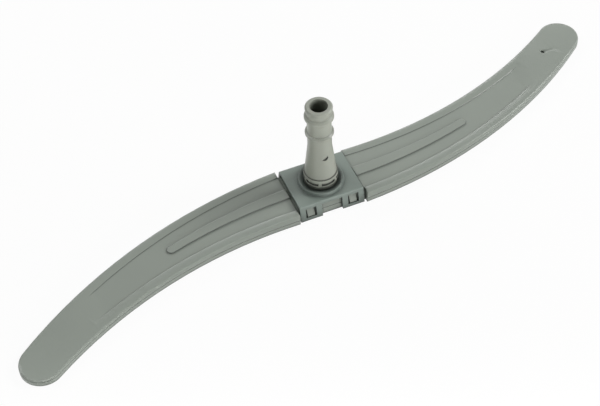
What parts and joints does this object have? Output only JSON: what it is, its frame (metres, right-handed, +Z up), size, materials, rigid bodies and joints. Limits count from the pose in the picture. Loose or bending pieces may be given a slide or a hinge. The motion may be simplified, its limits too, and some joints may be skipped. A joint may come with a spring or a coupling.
{
  "type": "dishwasher spray arm",
  "caption": "Flat hollow S-shaped spray arm with a saddle clip latched over its middle, spinning round an upright feed tube that supplies the water.",
  "frame": {"origin": "on the spin axis, in the plane of the arm's underside", "axes": "+Z up along the feed tube, +X along the hub towards the blade with the drive jet, +Y across the hub"},
  "size_m": [0.4642, 0.1566, 0.083],
  "materials": {
    "arm_plastic": "fine matte moulded texture",
    "clip_plastic": "matte moulded",
    "tube_plastic": "satin moulded"
  },
  "bodies": {
    "tube": {"feed_tube": "tube_plastic"},
    "arm": {"upper_shell": "arm_plastic", "lower_shell": "arm_plastic", "hub_clip": "clip_plastic"}
  },
  "joints": [
    {"name": "arm_spin", "type": "hinge", "parent": "tube", "child": "arm", "pos_m": [0, 0, 0], "axis": [0, 0, 1], "continuous": true}
  ]
}
